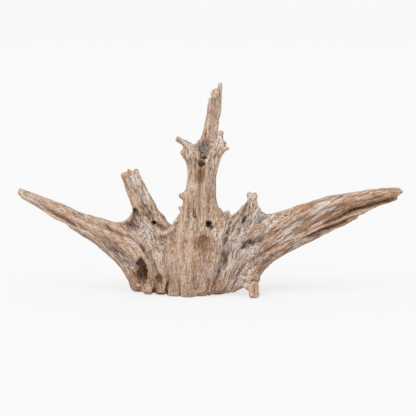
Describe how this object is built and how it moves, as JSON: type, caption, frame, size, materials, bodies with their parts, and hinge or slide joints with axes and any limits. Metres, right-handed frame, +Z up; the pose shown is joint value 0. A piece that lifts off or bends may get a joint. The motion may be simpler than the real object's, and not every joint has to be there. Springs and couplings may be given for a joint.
{
  "type": "decorative root wood",
  "caption": "Weathered root stump used as an ornament: a split trunk with long tapering root arms to either side, a forked branch and a knob, standing on its root feet.",
  "frame": {"origin": "on the floor, under the middle of the bounding box", "axes": "+X along the arms towards the broader right arm, -Y towards the front with the foot stub, +Z up along the trunk"},
  "size_m": [0.8052, 0.1932, 0.434],
  "materials": {
    "weathered_wood": "bare weathered wood, matt, with a thin whitewash left in the grain"
  },
  "bodies": {
    "root": {"root_wood": "weathered_wood"}
  },
  "joints": []
}
